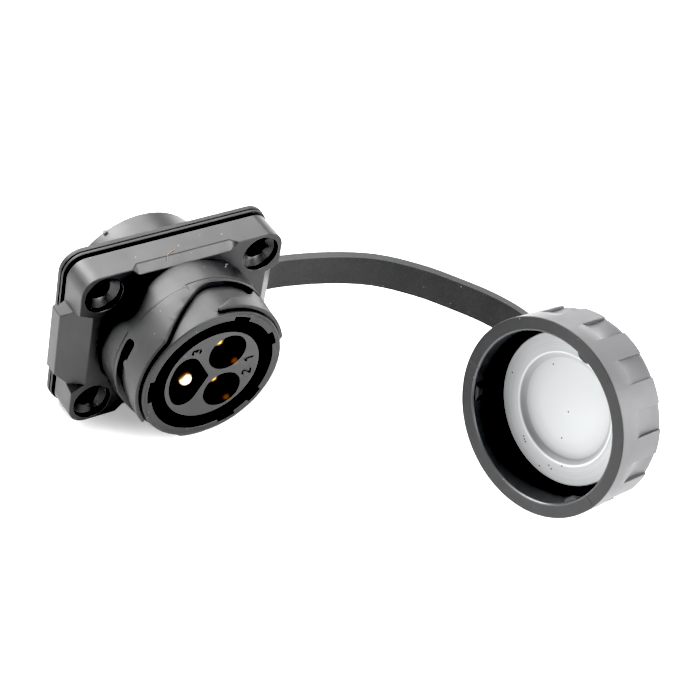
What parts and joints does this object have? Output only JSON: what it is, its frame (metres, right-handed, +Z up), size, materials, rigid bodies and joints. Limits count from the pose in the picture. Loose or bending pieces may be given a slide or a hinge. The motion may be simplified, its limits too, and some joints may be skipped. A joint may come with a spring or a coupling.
{
  "type": "flange mount power socket",
  "caption": "Flange mount power socket: bayonet barrel, recessed pin contacts in a round insert, panel gasket and a sealing cap on a moulded strap.",
  "frame": {"origin": "centre of the panel face of the gasket, on the axis of the barrel and spigot", "axes": "+Z up, -Y towards the mating side, +Y through the panel, +X towards the side where the strap leaves"},
  "size_m": [0.0726, 0.0787, 0.0378],
  "materials": {
    "housing_plastic": "satin moulded plastic, dark grey",
    "insert_plastic": "satin moulded plastic, dark grey",
    "cap_plastic": "satin moulded plastic, dark grey",
    "contact_metal": "gold plated, polished",
    "screw_steel": "zinc plated",
    "seal_rubber": "matt rubber",
    "strap_rubber": "matt soft plastic, near black",
    "cap_seal_rubber": "soft silicone, light grey"
  },
  "bodies": {
    "socket": {"housing": "housing_plastic", "contact_insert": "insert_plastic", "contact_1": "contact_metal", "contact_2": "contact_metal", "contact_3": "contact_metal", "terminal_screws": "screw_steel", "insert_seal": "seal_rubber", "contact_seals": "seal_rubber", "insert_retainer": "housing_plastic", "gasket_tether": "strap_rubber"},
    "tether_end": {"swivel_rivet": "screw_steel"},
    "cap": {"cap_shell": "cap_plastic", "cap_seal": "cap_seal_rubber"}
  },
  "joints": [
    {"name": "strap_flex", "type": "hinge", "parent": "socket", "child": "tether_end", "pos_m": [0.019, -0.0009, 0], "axis": [0, 0, 1], "range_deg": [-25, 45], "stiffness_Nm_per_rad": 0.002, "deforming": ["gasket_tether"]},
    {"name": "cap_swivel", "type": "hinge", "parent": "tether_end", "child": "cap", "pos_m": [0.04897, -0.05115, 0.00461], "axis": [0.9701, 0.1606, -0.1822], "continuous": true}
  ]
}
